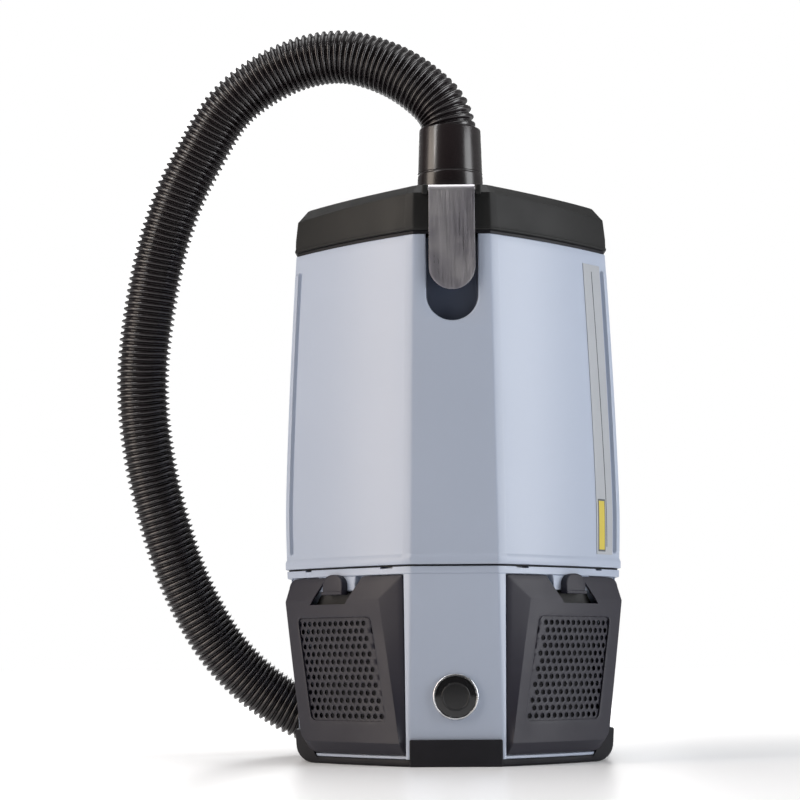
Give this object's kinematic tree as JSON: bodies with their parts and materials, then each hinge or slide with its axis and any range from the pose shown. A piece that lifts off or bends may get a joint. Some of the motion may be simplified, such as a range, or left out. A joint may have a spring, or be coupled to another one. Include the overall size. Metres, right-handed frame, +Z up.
{
  "type": "backpack vacuum cleaner",
  "caption": "Backpack vacuum cleaner: a tapered tank on a motor housing, with a latched lid, a ribbed suction hose, exhaust covers and a padded harness.",
  "frame": {"origin": "centre of the machine's footprint on the floor, without the hose", "axes": "+Z up, -Y towards the outer front with the latch, +Y towards the wearer and the harness, +X to the right seen from the front"},
  "size_m": [0.4381, 0.3183, 0.6329],
  "materials": {
    "shell_grey": "satin moulded plastic",
    "lid_black": "fine textured plastic",
    "cover_grey": "textured plastic",
    "latch_steel": "brushed",
    "black_rubber": "matte",
    "hose_black": "glossy ribbed",
    "cuff_black": "glossy",
    "filter_foam": "open foam",
    "filter_cloth": "woven",
    "bag_paper": "paper",
    "motor_metal": "cast",
    "motor_copper": "wound wire",
    "brush_carbon": "carbon",
    "badge_silver": "metallic trim",
    "label_grey": "printed film",
    "plate_black": "textured",
    "pad_fabric": "mesh fabric",
    "webbing": "woven webbing",
    "buckle_black": "satin",
    "screw_steel": "plated"
  },
  "bodies": {
    "body": {"lower_housing": "shell_grey", "upper_shell": "shell_grey", "latch_keeper": "latch_steel", "base_bumper": "black_rubber", "housing_seal": "black_rubber", "motor_foot": "black_rubber", "motor_seal": "black_rubber", "mains_gland": "black_rubber", "switch_gland": "black_rubber", "exhaust_filter_left": "filter_foam", "exhaust_filter_right": "filter_foam", "motor_filter": "filter_foam", "cloth_filter": "filter_cloth", "filter_bag": "bag_paper", "bag_collar": "bag_paper", "motor_bracket": "motor_metal", "motor_stator": "motor_copper", "carbon_brush_left": "brush_carbon", "carbon_brush_right": "brush_carbon", "round_badge": "badge_silver", "label_strip": "label_grey", "harness_plate": "plate_black", "motor_housing": "plate_black", "back_pad": "pad_fabric", "shoulder_pad_left": "pad_fabric", "shoulder_pad_right": "pad_fabric", "hip_pad_left": "pad_fabric", "hip_pad_right": "pad_fabric", "strap_webbing_left": "webbing", "strap_webbing_right": "webbing", "belt_webbing_left": "webbing", "belt_webbing_right": "webbing", "strap_adjuster_left": "buckle_black", "strap_adjuster_right": "buckle_black", "belt_buckle_left": "buckle_black", "belt_buckle_right": "buckle_black", "bearing_lower": "screw_steel", "bearing_upper": "screw_steel", "plate_screw_1": "screw_steel", "plate_screw_2": "screw_steel", "plate_screw_3": "screw_steel", "plate_screw_4": "screw_steel"},
    "lid": {"lid": "lid_black", "lid_seal": "black_rubber", "inlet_tube": "lid_black", "swivel_collar": "motor_metal", "latch_pin": "screw_steel", "suction_hose": "hose_black", "hose_end_cuff": "cuff_black"},
    "latch": {"latch_plate": "latch_steel"},
    "cuff": {"hose_cuff": "cuff_black"},
    "cover_left": {"exhaust_cover_left": "cover_grey"},
    "cover_right": {"exhaust_cover_right": "cover_grey"},
    "cover_tab_left": {"cover_latch_left": "cover_grey"},
    "cover_tab_right": {"cover_latch_right": "cover_grey"},
    "rotor": {"motor_rotor": "motor_metal", "fan_impeller": "motor_metal"}
  },
  "joints": [
    {"name": "lid_lift", "type": "slide", "parent": "body", "child": "lid", "axis": [0, 0, 1], "range_m": [0, 0.045]},
    {"name": "latch_hinge", "type": "hinge", "parent": "lid", "child": "latch", "pos_m": [0, -0.1558, 0.4628], "axis": [-1, 0, 0], "range_deg": [0, 75]},
    {"name": "cuff_swivel", "type": "hinge", "parent": "lid", "child": "cuff", "pos_m": [0, -0.055, 0.5], "axis": [0, 0, 1], "continuous": true},
    {"name": "cover_hinge_left", "type": "hinge", "parent": "body", "child": "cover_left", "pos_m": [-0.08638, -0.11553, 0.0105], "axis": [0.7396, -0.673, 0], "range_deg": [0, 60]},
    {"name": "cover_hinge_right", "type": "hinge", "parent": "body", "child": "cover_right", "pos_m": [0.08638, -0.11553, 0.0105], "axis": [0.7396, 0.673, 0], "range_deg": [0, 60]},
    {"name": "cover_tab_hinge_left", "type": "hinge", "parent": "cover_left", "child": "cover_tab_left", "pos_m": [-0.09751, -0.10523, 0.1355], "axis": [0.7271, -0.6865, 0], "range_deg": [0, 12], "stiffness_Nm_per_rad": 0.05},
    {"name": "cover_tab_hinge_right", "type": "hinge", "parent": "cover_right", "child": "cover_tab_right", "pos_m": [0.09751, -0.10523, 0.1355], "axis": [0.7271, 0.6865, 0], "range_deg": [0, 12], "stiffness_Nm_per_rad": 0.05},
    {"name": "motor_spin", "type": "hinge", "parent": "body", "child": "rotor", "pos_m": [0, -0.055, 0.08], "axis": [0, 0, 1], "continuous": true}
  ]
}
